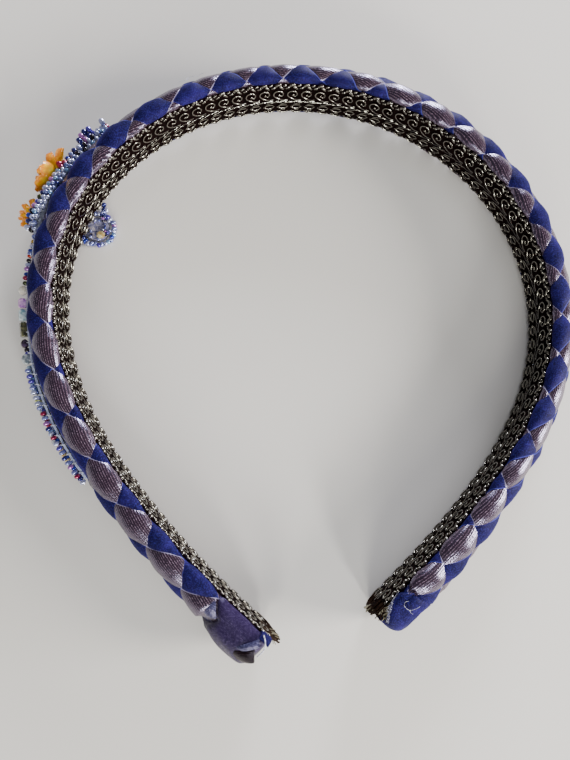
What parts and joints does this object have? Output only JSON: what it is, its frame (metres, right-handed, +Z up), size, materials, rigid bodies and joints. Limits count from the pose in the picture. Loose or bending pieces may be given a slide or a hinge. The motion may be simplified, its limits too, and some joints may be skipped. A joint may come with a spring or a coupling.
{
  "type": "embellished headband",
  "caption": "Padded fabric headband woven over with ribbon, lined with scroll gimp braid, with a bead-embroidered felt spray on one arm. It lies on its side edge.",
  "frame": {"origin": "centre of the plan of the headband, on the surface that it lies on", "axes": "+Z up from the lower side edge to the upper one, +Y from the open ends towards the crown, +X towards the plain arm"},
  "size_m": [0.1462, 0.1536, 0.0173],
  "materials": {
    "woven_ribbon": "matte royal blue and plum satin ribbon over foam",
    "plum_ribbon": "ribbed shot taffeta ribbon",
    "royal_ribbon": "matte satin ribbon",
    "black_gimp": "glossy rayon scroll gimp braid",
    "grey_felt": "wool felt",
    "iris_seed_beads": "glass seed beads with a rainbow lustre",
    "bead_embroidery": "mixed glass seed beads sewn close",
    "champagne_crystal": "cut crystal",
    "amber_petals": "thin translucent petals",
    "ivory_glass": "pearl lustre",
    "pink_glass": "rainbow lustre",
    "aqua_glass": "silver lined",
    "olive_glass": "dark metallic lustre",
    "dark_glass": "glossy",
    "silver_glass": "metallic lustre",
    "grey_glass": "satin lustre",
    "blue_glass": "rainbow lustre",
    "citron_glass": "rainbow lustre",
    "clear_glass": "silver lined",
    "red_glass": "glossy",
    "gold_glass": "silver lined"
  },
  "bodies": {
    "root": {"padded_band": "woven_ribbon", "left_tip_wrap": "plum_ribbon", "right_tip_wrap": "royal_ribbon", "gimp_trim": "black_gimp", "applique_backing": "grey_felt", "cluster_bead_edging": "iris_seed_beads", "leaf_bead_edging": "iris_seed_beads", "cluster_beadwork": "bead_embroidery", "curled_lobe": "grey_felt", "lobe_bead_rim": "iris_seed_beads", "lobe_stone": "champagne_crystal", "upper_flower": "amber_petals", "lower_flower": "amber_petals", "ivory_bead": "ivory_glass", "pink_cube_bead": "pink_glass", "aqua_bugle": "aqua_glass", "olive_bugle": "olive_glass", "dark_bead": "dark_glass", "silver_bead_middle": "silver_glass", "grey_bugle": "grey_glass", "blue_bugle": "blue_glass", "citron_cube_bead": "citron_glass", "clear_bugle": "clear_glass", "red_bead": "red_glass", "sky_bead": "blue_glass", "silver_bead_lower": "silver_glass", "gold_bugle": "gold_glass"}
  },
  "joints": []
}
